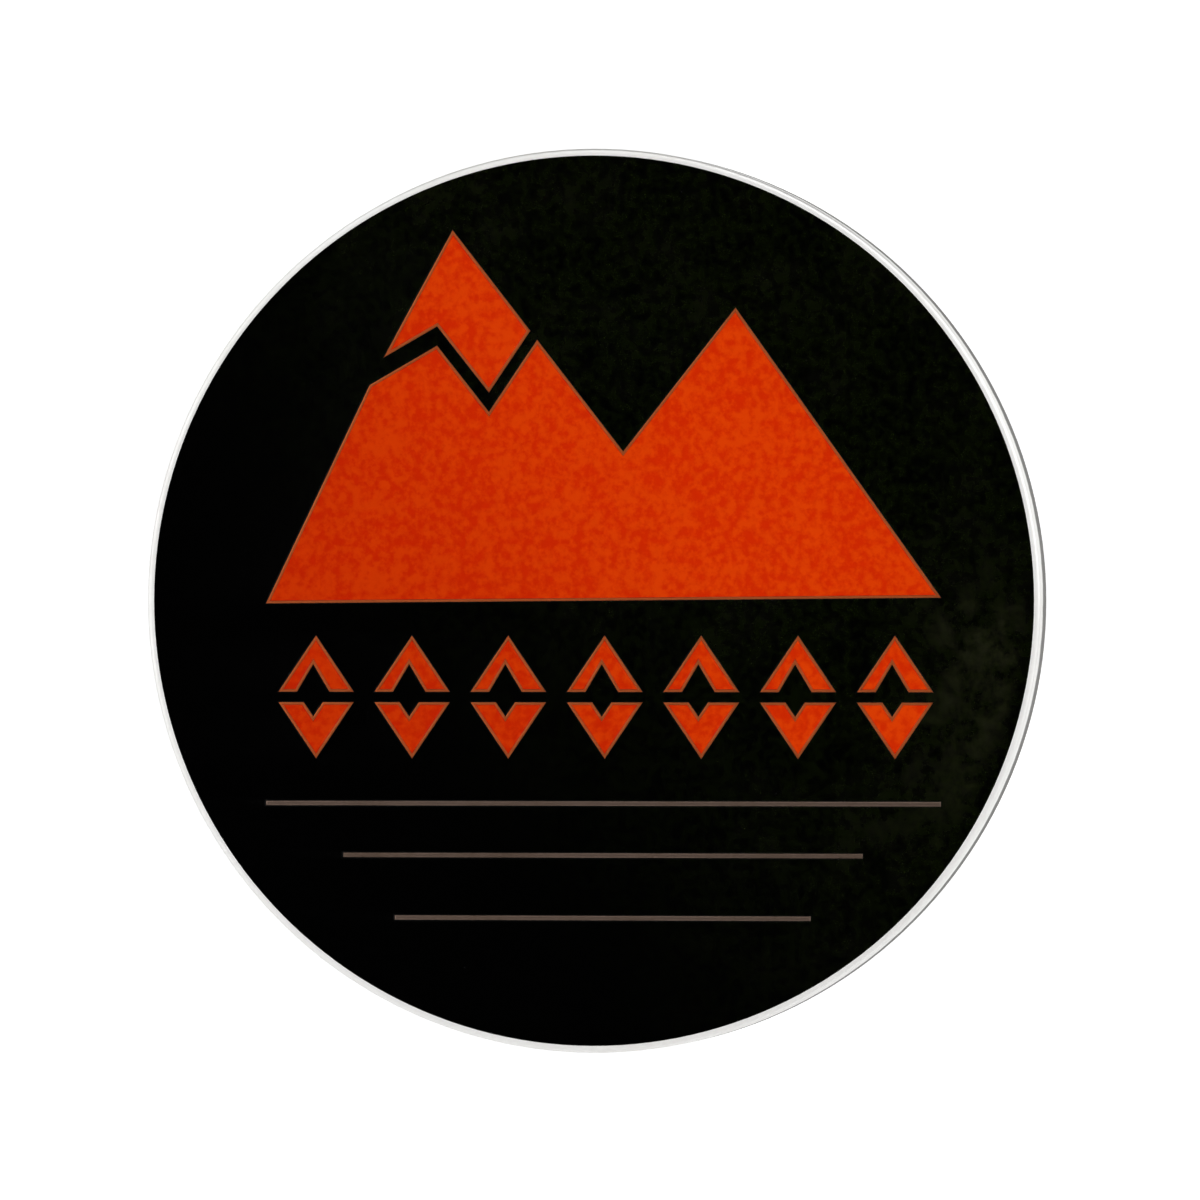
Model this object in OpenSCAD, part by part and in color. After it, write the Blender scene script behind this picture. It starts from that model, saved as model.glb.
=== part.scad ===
// Round hard-enamel lapel pin with two posts and two butterfly clutches.
// Frame: +Z up as worn, the enamelled face looks along -Y, and the origin is the disc's centre on the
// back plane that lies against the cloth. All sizes are in millimetres.

/* [Pin] */
// Diameter of the struck disc
pin_d = 38; // [34:1:44]
// Thickness of the struck disc at its rim
pin_t = 2; // [1.4:0.1:2.4]
// Width of the bare metal rim around the face
rim_w = 0.3; // [0.25:0.05:0.6]
// Depth of the enamel cells
enamel_depth = 0.5; // [0.3:0.05:0.7]
// How far the polished enamel lies below the metal
enamel_drop = 0.03; // [0.02:0.01:0.1]
// Thickness of the metal walls round the orange cells
wall_t = 0.12; // [0.1:0.02:0.2]

/* [Artwork] */
// How far the artwork sits to the right of the disc's centre
art_shift = 0.43; // [0:0.01:0.8]
// Width of the mountain range along its foot
range_w = 28.7; // [26:0.1:29]
// How far the foot climbs from left to right
foot_climb = 0.24; // [0:0.02:0.4]
// Height of the tall peak above the foot
tall_peak_h = 15.6; // [14:0.1:16]
// Height of the low peak above the foot
low_peak_h = 12.3; // [10:0.1:13]
// Height of the black gap between the snow cap and the mountain below it
snow_gap = 0.8; // [0.6:0.02:1]
// Number of lozenges in the band under the mountains
lozenge_count = 7; // [5:1:7]
// Height of a lozenge
lozenge_h = 5.2; // [4:0.2:5.4]
// Thickness of the three raised rules
rule_t = 0.22; // [0.2:0.02:0.4]

/* [Posts] */
// Distance between the two posts
post_spacing = 20; // [16:1:22]
// Height of the posts above the disc's centre, so that the pin doesn't nod forward
post_rise = 3; // [0:0.5:4]
// Diameter of a post
post_d = 1.2; // [1.1:0.05:1.3]
// Length of a post from the back plane to its point
post_l = 8.2; // [8:0.1:9]

/* [Clutches] */
// Gap that the cloth takes up between the pin's back and a clutch
cloth_gap = 1.5; // [1:0.1:2]
// Diameter of a clutch's cap
cap_d = 11.6; // [11.6:0.1:12.2]
// Sheet thickness of the clutch stampings
sheet_t = 0.3; // [0.26:0.02:0.32]
// Width of the bridge across the cap
bridge_w = 5.2; // [5:0.1:5.4]
// Width of a wing's neck and jaw
neck_w = 3.4; // [3:0.1:3.6]

/* [Hidden] */
$fn = 96;
over = 0.1;                                   // how far a cutter runs past the solid that it cuts

pin_r = pin_d / 2;
field_r = pin_r - rim_w;                      // radius of the enamelled field
floor_z = pin_t - enamel_depth;               // floor of the enamel cells above the back plane
front_round = 0.2;                            // radius on the rim's front edge
back_round = 0.25;                            // radius on the rim's back edge
seat_w = 1.5;                                 // width of the flat ring that lies on the cloth
seat_inner_r = pin_r - back_round - seat_w;
back_recess = 0.15;                           // depth of the textured back inside the seat ring

// Mountain range: the corners follow from the foot's width and the two peak heights. The tall peak's
// left slope leans back a little at the shoulder, where the snow starts.
foot_left = [art_shift - range_w / 2, -foot_climb / 2];
foot_right = [art_shift + range_w / 2, foot_climb / 2];
shoulder = [foot_left[0] + 0.164 * range_w, 0.618 * tall_peak_h];
tall_peak = [foot_left[0] + 0.278 * range_w, tall_peak_h];
saddle = [foot_left[0] + 0.531 * range_w, 0.51 * low_peak_h];
low_peak = [foot_left[0] + 0.697 * range_w, low_peak_h];

// Snow line: it climbs from the shoulder, drops once and climbs to the right slope.
snow_rise = [foot_left[0] + 0.255 * range_w, 0.714 * tall_peak_h];
snow_dip = [foot_left[0] + 0.332 * range_w, 0.535 * tall_peak_h];
snow_end = [foot_left[0] + 0.398 * range_w, 0.714 * tall_peak_h];

// Band of lozenges, each split into an upper and a lower chevron.
band_y = -4.05;                               // height of the band's centre line
band_left = foot_left[0] + 0.1;
band_pitch = range_w / lozenge_count;
lozenge_a = 0.43 * band_pitch;                // half width
lozenge_b = lozenge_h / 2;                    // half height
lozenge_split = 0.42;                         // gap between the two chevrons
eye_share = 0.42;                             // size of the black eye against the lozenge
eye_shift = [-0.12, 0.28];                    // the eye sits high and left of the lozenge's centre

// Rules: [height, length] of each raised metal line, from the top one down.
rules = [[-8.52, 28.7], [-10.7, 22.1], [-13.33, 17.7]];

post_r = post_d / 2;
shank_r = post_r - 0.05;                      // past the cloth the post is drawn a little thinner
shoulder_z = 1.2;                             // where it becomes thinner
pad_r = 2;                                    // foot pad of a post
pad_t = 0.35;
solder_line = [[0.5, 0], [0.22, 0.1], [0.06, 0.22], [0, 0.3]];   // fillet outside the pad, [out, up]
groove_r = 0.44;                              // waist near the point, where a clutch stops
groove_z = 6.2;
groove_l = 0.5;
groove_slope = 0.12;                          // length of the waist's sloping shoulders
tip_l = 0.75;                                 // length of the taper to the point
tip_r = 0.12;

cap_r = cap_d / 2;
cap_hole_r = post_r + 0.1;
cap_h = 1.05;                                 // height of the rolled rim
cap_bend = 0.45;                              // outer radius of the rim's lower bend
lip_w = 0.75;                                 // how far the rolled rim reaches inwards
play = 0.06;                                  // running clearance between the clutch's pieces
foot_z = sheet_t + play;                      // underside of the bridge's feet
foot_end_gap = 0.1;                           // between the feet and the inside of the rim
foot_r = cap_r - sheet_t - foot_end_gap;      // the feet run out under the rolled lip
arch_top = 2.45;                              // top of the bridge's deck
deck_half = 2.55;                             // half length of the flat deck
riser_top = [2.85, 2.05];                     // where the deck has bent into a riser
riser_foot = [3.2, 0.71];                     // where the riser starts to bend into a foot
foot_start = 3.5;
slot_x = 1.36;                                // half width of the deck's slot, whose edge is the fulcrum
slot_y = neck_w / 2 + 0.15;
fulcrum_z = arch_top - sheet_t / 2;
jaw = [0.5, 0.9];                             // lower end of a wing's middle line, beside the post
neck_top = [1.05, 2.2];                       // where the straight neck starts to curl outwards
neck_pull = 2;                                // how long the curl keeps the neck's direction
tab_pull = [-2.4, 0.35];                      // how it runs into the finger tab
tab_end = [6.5, 5.5];
lobe_r = 2.6;                                 // radius of the rounded finger tab
lobe_x = 3.9;                                 // the tab's centre
neck_end_x = 2.6;                             // how far out the narrow neck reaches
wing_h = 8;                                   // taller than the wing, for its cutters
jaw_notch_r = shank_r + play;                 // half-round notch in each jaw

nickel = "gainsboro";
brass = "goldenrod";
black = [0.02, 0.03, 0.015];
orange = [0.8, 0.2, 0.01];

// ---- Geometry helpers ----

function cross2(u, v) = u[0] * v[1] - u[1] * v[0];

// Where the line through a and b meets the line through c and d.
function meet(a, b, c, d) = a + (b - a) * cross2(c - a, d - c) / cross2(b - a, d - c);

function unit(v) = v / norm(v);
function right_of(a, b) = let (d = unit(b - a)) [d[1], -d[0]];

// A counter-clockwise outline moved outwards, or inwards if by is negative, with mitred corners.
function grow(outline, by) = [for (i = [0:len(outline) - 1])
    let (n = len(outline), here = outline[i],
         one = right_of(outline[(i + n - 1) % n], here),
         two = right_of(here, outline[(i + 1) % n]))
    here + (one + two) * by / (1 + one * two)];

// Points along an arc from angle a0 to a1.
function arc(centre, r, a0, a1, steps = 5) =
    [for (i = [0:steps]) let (a = a0 + (a1 - a0) * i / steps) centre + r * [cos(a), sin(a)]];

function bezier(p, t) = pow(1 - t, 3) * p[0] + 3 * t * pow(1 - t, 2) * p[1]
    + 3 * t * t * (1 - t) * p[2] + pow(t, 3) * p[3];

// Normal of a middle line at point i, from the neighbours on both sides.
function line_normal(line, i) = right_of(line[max(i - 1, 0)], line[min(i + 1, len(line) - 1)]);

// Outline of a sheet strip of thickness t around its middle line.
function strip(line, t) = concat(
    [for (i = [0:len(line) - 1]) line[i] + line_normal(line, i) * t / 2],
    [for (i = [len(line) - 1:-1:0]) line[i] - line_normal(line, i) * t / 2]);

module to_face() rotate([90, 0, 0]) children();
module to_back() rotate([-90, 0, 0]) children();
module on_post(side) translate([side * post_spacing / 2, 0, post_rise]) to_back() children();

// ---- Artwork outlines, counter-clockwise, round the outside of the metal walls ----

// The snow line moved up or down, from the left slope (below or above the shoulder) to the right one.
function snow_line(lift) =
    let (line = [for (p = [shoulder, snow_rise, snow_dip, snow_end]) p + [0, lift]])
    [meet(line[0], line[1], shoulder, lift > 0 ? tall_peak : foot_left), line[1], line[2],
     meet(line[2], line[3], saddle, tall_peak)];

snow_cap_outline = concat(snow_line(snow_gap / 2), [tall_peak]);
mountains_outline = let (line = snow_line(-snow_gap / 2))
    [foot_left, foot_right, low_peak, saddle, line[3], line[2], line[1], line[0]];

function lozenge_centre(i) = [band_left + (i + 0.5) * band_pitch, band_y];

// One chevron of a split lozenge: top = 1 is the upper one, top = -1 the lower one.
function chevron(centre, top) =
    let (cut = top * lozenge_split / 2,
         outer_x = lozenge_a * (1 - abs(cut) / lozenge_b),
         eye = eye_share * [lozenge_a, lozenge_b],
         eye_x = eye[0] * (1 - abs(cut - eye_shift[1]) / eye[1]),
         points = [[-outer_x, cut], [eye_shift[0] - eye_x, cut], eye_shift + [0, top * eye[1]],
                   [eye_shift[0] + eye_x, cut], [outer_x, cut], [0, top * lozenge_b]])
    [for (i = [0:5]) centre + points[top == 1 ? i : 5 - i]];

orange_outlines = concat([snow_cap_outline, mountains_outline],
    [for (top = [1, -1], i = [0:lozenge_count - 1]) chevron(lozenge_centre(i), top)]);
orange_cells = [for (outline = orange_outlines) grow(outline, -wall_t)];

module rule_bars(h) for (r = rules) translate([art_shift - r[1] / 2, r[0] - rule_t / 2, 0])
    cube([r[1], rule_t, h]);

// The black field's volume: everything inside the rim but the walled cells and the rules.
module field_volume(h) difference() {
    cylinder(r = field_r, h = h);
    translate([0, 0, -over]) {
        for (outline = orange_outlines) linear_extrude(h + 2 * over) polygon(outline);
        rule_bars(h + 2 * over);
    }
}

// ---- Pin ----

module blank() rotate_extrude() polygon(concat(
    [[0, back_recess], [seat_inner_r, back_recess], [seat_inner_r, 0]],
    arc([pin_r - back_round, back_round], back_round, -90, 0),
    arc([pin_r - front_round, pin_t - front_round], front_round, 0, 90),
    [[0, pin_t]]));

module pin_body() color(nickel) to_face() difference() {
    blank();
    translate([0, 0, floor_z]) {
        field_volume(enamel_depth + over);
        for (cell = orange_cells) linear_extrude(enamel_depth + over) polygon(cell);
    }
}

module enamel_black_field() color(black) to_face() translate([0, 0, floor_z])
    field_volume(enamel_depth - enamel_drop);

module enamel_cell(i) color(orange) to_face() translate([0, 0, floor_z])
    linear_extrude(enamel_depth - enamel_drop) polygon(orange_cells[i]);

// ---- Posts ----

module post(side) color("silver") on_post(side) translate([0, 0, -back_recess]) rotate_extrude()
    polygon([[0, 0], [pad_r, 0], [pad_r, pad_t], [post_r, pad_t],
        [post_r, shoulder_z + back_recess], [shank_r, shoulder_z + back_recess],
        [shank_r, groove_z], [groove_r, groove_z + groove_slope],
        [groove_r, groove_z + groove_l - groove_slope], [shank_r, groove_z + groove_l],
        [shank_r, post_l + back_recess - tip_l],
        [tip_r, post_l + back_recess], [0, post_l + back_recess]]);

module solder(side) color("lightgray") on_post(side) translate([0, 0, -back_recess]) rotate_extrude()
    polygon(concat([[pad_r, 0]], [for (p = solder_line) [pad_r, 0] + p]));

// ---- Butterfly clutch, in its own frame: the post runs along Z, the wings spread along X ----

module clutch_place(side) on_post(side) translate([0, 0, cloth_gap]) children();

module clutch_cap(side) color(brass) clutch_place(side) rotate_extrude() polygon(concat(
    [[cap_hole_r, 0]],
    arc([cap_r - cap_bend, cap_bend], cap_bend, -90, 0),
    arc([cap_r - sheet_t, cap_h - sheet_t], sheet_t, 0, 90),
    [[cap_r - lip_w, cap_h], [cap_r - lip_w, cap_h - sheet_t], [cap_r - sheet_t, cap_h - sheet_t],
     [cap_r - sheet_t, cap_bend], [cap_r - cap_bend, sheet_t], [cap_hole_r, sheet_t]]));

// Folded sheet arch: two feet, two risers and a deck whose slot holds the wings' necks.
arch_half = let (foot_line = foot_z + sheet_t / 2)
    [[deck_half, fulcrum_z], riser_top, riser_foot, [foot_start, foot_line], [cap_r, foot_line]];
arch_line = concat([for (i = [len(arch_half) - 1:-1:0]) [-arch_half[i][0], arch_half[i][1]]], arch_half);

module clutch_bridge(side) color(brass) clutch_place(side) difference() {
    intersection() {
        rotate([90, 0, 0]) translate([0, 0, -bridge_w / 2]) linear_extrude(bridge_w)
            polygon(strip(arch_line, sheet_t));
        cylinder(r = foot_r, h = 2 * arch_top);
    }
    translate([-slot_x, -slot_y, fulcrum_z - sheet_t]) cube([2 * slot_x, 2 * slot_y, 2 * sheet_t]);
}

wing_line = concat([jaw], [for (i = [0:9])
    bezier([neck_top, neck_top + neck_pull * unit(neck_top - jaw), tab_end + tab_pull, tab_end], i / 9)]);

// A wing lever on the +X side; out = -1 gives the one on the other side.
module wing(side, out) color(brass) clutch_place(side) rotate([0, 0, out == 1 ? 0 : 180]) difference() {
    intersection() {
        rotate([90, 0, 0]) translate([0, 0, -bridge_w]) linear_extrude(2 * bridge_w)
            polygon(strip(wing_line, sheet_t));
        union() {
            translate([0, -neck_w / 2, 0]) cube([neck_end_x, neck_w, wing_h]);
            translate([lobe_x, 0, 0]) cylinder(r = lobe_r, h = wing_h);
        }
    }
    cylinder(r = jaw_notch_r, h = wing_h);
}

// ---- Nodes ----

pin_body();
enamel_black_field();
enamel_cell(0);  // enamel_snow_cap
enamel_cell(1);  // enamel_mountains
for (i = [1:lozenge_count]) {
    enamel_cell(1 + i);
    enamel_cell(1 + lozenge_count + i);
}
for (side = [-1, 1]) {
    name = side == -1 ? "left_" : "right_";
    post(side);
    solder(side);
    clutch_cap(side);
    clutch_bridge(side);
    wing(side, -side);
    wing(side, side);
}
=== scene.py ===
# %% [markdown]
# # A round hard-enamel pin
#
# The real pin is one struck metal disc. Its face has shallow cells with thin raised walls between them.
# The cells are filled with coloured enamel, and the face is ground flat so that only the tops of the
# walls shine. Two posts are soldered to the back, and a butterfly clutch grips each post behind the
# cloth.
#
# The measured model holds every size and every joint. This script dresses it: it reads the model's
# boxes and outlines, lays finer surfaces in the same places, and gives each surface its finish.

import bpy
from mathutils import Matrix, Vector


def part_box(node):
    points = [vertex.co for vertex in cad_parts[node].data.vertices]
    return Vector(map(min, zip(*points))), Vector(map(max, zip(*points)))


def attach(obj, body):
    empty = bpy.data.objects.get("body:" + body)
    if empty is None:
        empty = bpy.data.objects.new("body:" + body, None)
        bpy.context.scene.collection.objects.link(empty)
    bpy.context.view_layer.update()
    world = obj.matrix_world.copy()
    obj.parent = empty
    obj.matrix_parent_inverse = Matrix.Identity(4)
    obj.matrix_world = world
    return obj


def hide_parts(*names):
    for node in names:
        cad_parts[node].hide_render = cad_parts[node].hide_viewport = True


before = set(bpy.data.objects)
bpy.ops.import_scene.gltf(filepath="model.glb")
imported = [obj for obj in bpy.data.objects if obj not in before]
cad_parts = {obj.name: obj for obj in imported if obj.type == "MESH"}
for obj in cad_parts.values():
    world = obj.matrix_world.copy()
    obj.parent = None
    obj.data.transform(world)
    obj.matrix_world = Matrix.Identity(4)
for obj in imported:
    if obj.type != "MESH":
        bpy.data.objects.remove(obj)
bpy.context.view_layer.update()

import math

import bmesh
import bpy
import numpy as np
from mathutils import Vector, geometry

MM = 0.001

# %% [markdown]
# ## Lines and corners
#
# Nothing that is struck, drawn or ground has a knife edge. Each profile below is therefore a short list
# of corners, and one helper rounds them. A bevel modifier could do it too, but on a profile the rounding
# costs a few points and can differ from corner to corner.


# %% Round the corners of a line
def unit(vectors):
    """Each vector divided by its own length."""
    return vectors / np.linalg.norm(vectors, axis=-1, keepdims=True)


def softened(corners, cut, steps=4, closed=False):
    """A line with its corners rounded. Each corner becomes a parabola that leaves the first side at
    distance cut from the corner and meets the second side at the same distance:
    (1-s)^2 start + 2 s (1-s) corner + s^2 end. An open line keeps its two ends."""
    line = np.asarray(corners, float)
    if closed:
        line = np.vstack([line[-1:], line, line[:1]])
    before, at, after = line[:-2, None], line[1:-1, None], line[2:, None]
    reach = np.broadcast_to(cut, len(line) - 2)[:, None, None]
    start = at + reach * unit(before - at)
    end = at + reach * unit(after - at)
    s = np.linspace(0, 1, steps + 1)[None, :, None]
    curve = ((1 - s) ** 2 * start + 2 * s * (1 - s) * at + s**2 * end).reshape(-1, 2)
    return curve if closed else np.vstack([line[:1], curve, line[-1:]])


# %% [markdown]
# ## From numbers to a mesh
#
# A surface here is a grid of points: one parameter counts rows, the other counts columns. Its faces are
# always the same small squares between neighbours, so one helper makes them, and a second one turns
# grids into a finished object. Points are in millimetres until that last step.


# %% Grid faces
def grid_faces(points, wrap_rows=False, wrap_columns=True):
    """The four-cornered faces between neighbouring points of a (rows, columns, 3) grid. A wrapped
    direction also joins its last line of points to its first."""
    index = np.arange(points.shape[0] * points.shape[1]).reshape(points.shape[:2])
    if wrap_rows:
        index = np.vstack([index, index[:1]])
    if wrap_columns:
        index = np.hstack([index, index[:, :1]])
    around_cell = [index[:-1, :-1], index[:-1, 1:], index[1:, 1:], index[1:, :-1]]
    return np.stack(around_cell, axis=-1).reshape(-1, 4)


def row_cap(points, row):
    """One many-cornered face that closes a row of a grid."""
    columns = points.shape[1]
    return np.arange(columns)[None] + (row % points.shape[0]) * columns


# %% Finished pieces
WELD = 1e-4 * MM


def make_piece(name, parts, finish, body, stands_for=(), crease_deg=32):
    """One object from parts, each a (points in mm, list of face arrays) pair. Equal points are welded,
    so that seams and poles close, and every face is turned outwards. Edges sharper than crease_deg stay
    crisp in the shading."""
    points, faces, count = [], [], 0
    for part_points, part_faces in parts:
        flat = part_points.reshape(-1, 3)
        points.append(flat)
        faces += [face for array in part_faces for face in (array + count).tolist()]
        count += len(flat)
    mesh = bpy.data.meshes.new(name)
    mesh.from_pydata((np.vstack(points) * MM).tolist(), [], faces)
    work = bmesh.new()
    work.from_mesh(mesh)
    bmesh.ops.remove_doubles(work, verts=work.verts, dist=WELD)
    bmesh.ops.dissolve_degenerate(work, edges=work.edges, dist=WELD)
    bmesh.ops.recalc_face_normals(work, faces=work.faces)
    work.to_mesh(mesh)
    work.free()
    mesh.shade_smooth()
    mesh.set_sharp_from_angle(angle=math.radians(crease_deg))
    mesh.materials.append(finish)
    piece = bpy.data.objects.new(name, mesh)
    bpy.context.scene.collection.objects.link(piece)
    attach(piece, body)
    if stands_for:
        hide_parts(*stands_for)
    print(f"{name}: {len(mesh.polygons)} faces on {body}")
    return piece


# %% [markdown]
# ## Shader sums
#
# A finish is a sum of patterns: grain plus smudges times a mask. Written with Blender's nodes one by one
# that sum disappears in wiring, so a small class wraps a node's socket and lets Python's own signs add
# the Math nodes. Every other node comes from one method.


# %% A socket that can be added and multiplied
class Field:
    """A number, colour or vector that varies over a surface: one output socket of a material's nodes."""

    def __init__(self, finish, socket):
        self.finish = finish
        self.socket = socket

    def _sum(self, operation, first, second):
        """One Math node on two fields or numbers."""
        return self.finish.node("ShaderNodeMath", {"operation": operation}, {0: first, 1: second})

    def __add__(self, other):
        return self._sum("ADD", self, other)

    def __radd__(self, other):
        return self._sum("ADD", other, self)

    def __sub__(self, other):
        return self._sum("SUBTRACT", self, other)

    def __rsub__(self, other):
        return self._sum("SUBTRACT", other, self)

    def __mul__(self, other):
        return self._sum("MULTIPLY", self, other)

    def __rmul__(self, other):
        return self._sum("MULTIPLY", other, self)

    def root(self):
        """The square root, for lengths."""
        return self._sum("POWER", self, 0.5)


# %% A material and its patterns
class Finish:
    """A material with a Principled shader, and the patterns that its sums are made of. Sizes are in
    millimetres on the piece, because every pattern reads the piece's Object coordinates."""

    def __init__(self, name, **constants):
        self.material = bpy.data.materials.new(name)
        self.material.use_nodes = True
        self.tree = self.material.node_tree
        self.shader = self.tree.nodes["Principled BSDF"]
        for socket, value in constants.items():
            self.shader.inputs[socket.replace("_", " ")].default_value = value
        self.place = self.node("ShaderNodeTexCoord", output="Object")

    def node(self, kind, settings=None, inputs=None, output=0):
        """Adds a node: its settings first, then the values or links of its sockets."""
        made = self.tree.nodes.new(kind)
        for key, value in (settings or {}).items():
            setattr(made, key, value)
        for key, value in (inputs or {}).items():
            if isinstance(value, Field):
                self.tree.links.new(value.socket, made.inputs[key])
            else:
                made.inputs[key].default_value = value
        return Field(self, made.outputs[output])

    def feed(self, socket, field):
        """Links a field to a socket of the shader."""
        self.tree.links.new(field.socket, self.shader.inputs[socket])

    def stretched(self, x, y, z):
        """The piece's coordinates, stretched: a pattern grows longer along an axis with a small number."""
        return self.node("ShaderNodeVectorMath", {"operation": "MULTIPLY"}, {0: self.place, 1: (x, y, z)})

    def noise(self, size, detail=2.0, rough=0.5, place=None):
        """Soft noise from 0 to 1 with blots about size across."""
        sockets = {"Vector": place or self.place, "Scale": 1 / (size * MM), "Detail": detail,
                   "Roughness": rough}
        return self.node("ShaderNodeTexNoise", {"normalize": True}, sockets)

    def specks(self, spacing, radius):
        """1 inside small round specks, one in each cell of an uneven lattice, and 0 elsewhere."""
        distance = self.node("ShaderNodeTexVoronoi", {"feature": "F1"},
                             {"Vector": self.place, "Scale": 1 / (spacing * MM)}, output="Distance")
        return self.step(distance, radius / spacing, 0.4 * radius / spacing)

    def step(self, field, start, end):
        """A smooth step of a field: 0 up to start, 1 from end on. It falls if end is below start."""
        low, high = min(start, end), max(start, end)
        first, last = (0.0, 1.0) if start < end else (1.0, 0.0)
        return self.node("ShaderNodeMapRange", {"interpolation_type": "SMOOTHSTEP"},
                         {0: field, 1: low, 2: high, 3: first, 4: last})

    def along(self, axis):
        """One coordinate of the piece, in millimetres."""
        return self.node("ShaderNodeSeparateXYZ", inputs={0: self.place}, output=axis) * (1 / MM)

    def mix(self, mask, zero, one, over=None):
        """Colour zero where the mask is 0 and colour one where it is 1. A colour given as over is
        multiplied by the result."""
        mixed = self.node("ShaderNodeMix", {"data_type": "RGBA"}, {0: mask, 6: zero, 7: one}, output=2)
        if over is None:
            return mixed
        settings = {"data_type": "RGBA", "blend_type": "MULTIPLY"}
        return self.node("ShaderNodeMix", settings, {0: 1.0, 6: over, 7: mixed}, output=2)

    def relief(self, height, depth):
        """Bumps of a height field that runs from 0 to 1, depth millimetres tall."""
        bump = self.node("ShaderNodeBump", inputs={"Strength": 1.0, "Distance": depth * MM,
                                                   "Height": height})
        self.feed("Normal", bump)


def colour(red, green, blue):
    """A colour with the alpha that shader sockets want."""
    return (red, green, blue, 1.0)


# %% [markdown]
# ## Enamel
#
# Hard enamel is laid in as paste, baked, and ground level with the metal. Up close it is never one flat
# colour: pigment grains leave a mottle, grinding leaves hair scratches and a satin sheen, and a few
# pinholes stay. Light is painted into the colour too: it is painted darker at the lower left and lighter
# at the upper right, as painted light and shade from the right, and lighter cloudy patches along the rim,
# most at the right, are a painted reflection, which shows most on black.


# %% Where the painted light, shade and reflection lie on the enamel, in millimetres
# Painted light and shade: the enamel is painted lighter towards the upper right.
LIGHT_DRIFT_TILT, LIGHT_DRIFT_RUN = 0.7, (-14.0, 10.0)          # the colour drifts along x + 0.7 z
SHEEN_INNER, SHEEN_OUTER = (12.5, 16.8), (18.6, 17.7)     # radii at which the painted reflection along the rim sets in and ends
SHEEN_TOP, SHEEN_BOTTOM = (1.0, -1.5), (-15.0, -3.0)      # heights at which it sets in and ends


# %% Enamel finish
def enamel(name, shaded_colour, pale, mottle, sheen_colour, cloudiness, gloss, clarity):
    """Satin enamel. Its mean colour is painted light and shade: it runs from the darker colour given first
    at the lower left to the lighter one given second at the upper right. mottle is the pair of colours
    that its dark and light grains multiply it by. The colour given after mottle is a painted reflection,
    lighter cloudy patches, most of all along the rim at the right, which also raise the roughness;
    cloudiness is their share from 0 to 1, gloss the roughness of the cleanest places and clarity the
    strength of its mirror shine."""
    finish = Finish(name, IOR=1.5, Specular_IOR_Level=clarity)
    x, z = finish.along("X"), finish.along("Z")
    # Painted light and shade: 0 at the darker lower left, 1 at the lighter upper right.
    light_drift = finish.step(x + z * LIGHT_DRIFT_TILT, *LIGHT_DRIFT_RUN)
    grain = finish.noise(0.38, detail=3.0, rough=0.6)
    blots = finish.noise(2.0, detail=3.0, rough=0.6)
    grains = finish.step(grain * 0.72 + blots * 0.28, 0.39, 0.61)
    body = finish.mix(grains, *mottle, over=finish.mix(light_drift, shaded_colour, pale))
    # Painted reflection: lighter cloudy patches in a band along the rim and fainter ones all over, most on
    # the lit upper right side.
    off_centre = (x * x + z * z).root()
    band = finish.step(off_centre, *SHEEN_INNER) * finish.step(off_centre, *SHEEN_OUTER)
    rim_sheen = band * finish.step(z, *SHEEN_TOP) * finish.step(z, *SHEEN_BOTTOM)
    clouds = finish.step(finish.noise(5.0, detail=5.0, rough=0.62), 0.42, 0.7)
    sheen_breakup = finish.noise(0.8, detail=4.0, rough=0.6)
    # The painted reflection's share, broken up by noise; it also raises the roughness below.
    marks = (clouds * 0.1 + rim_sheen * 0.28) * light_drift * finish.step(sheen_breakup, 0.3, 0.8) * cloudiness
    pinholes = finish.specks(2.3, 0.05)
    finish.feed("Base Color", finish.mix(pinholes * 0.6, finish.mix(marks, body, sheen_colour), shaded_colour))
    scratches = finish.noise(0.07, detail=1.0, place=finish.stretched(1.0, 1.0, 0.06))
    finish.feed("Roughness", gloss + marks * 0.14 + scratches * 0.05 + pinholes * 0.3)
    ripple = finish.noise(0.5, detail=2.0)
    finish.relief(ripple * 0.5 + scratches * 0.2 + grain * 0.15 - pinholes * 0.6, 0.0035)
    return finish.material


# %% Mix the two enamels
# The first two colours of each enamel are painted shade and painted light; the colour after the mottle is a
# painted reflection.
black_enamel = enamel("black_enamel", shaded_colour=colour(0.00002, 0.00002, 0.00002),
                      pale=colour(0.0009, 0.0016, 0.0001),
                      mottle=(colour(0.0, 0.05, 0.0), colour(2.0, 1.9, 2.0)),
                      sheen_colour=colour(0.040, 0.043, 0.020), cloudiness=0.8, gloss=0.18, clarity=0.06)
orange_enamel = enamel("orange_enamel", shaded_colour=colour(0.53, 0.0235, 0.0003),
                       pale=colour(0.655, 0.0345, 0.0004),
                       mottle=(colour(0.94, 0.62, 0.2), colour(1.06, 1.38, 1.8)),
                       sheen_colour=colour(0.70, 0.050, 0.003), cloudiness=0.25, gloss=0.26, clarity=0.04)
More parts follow.
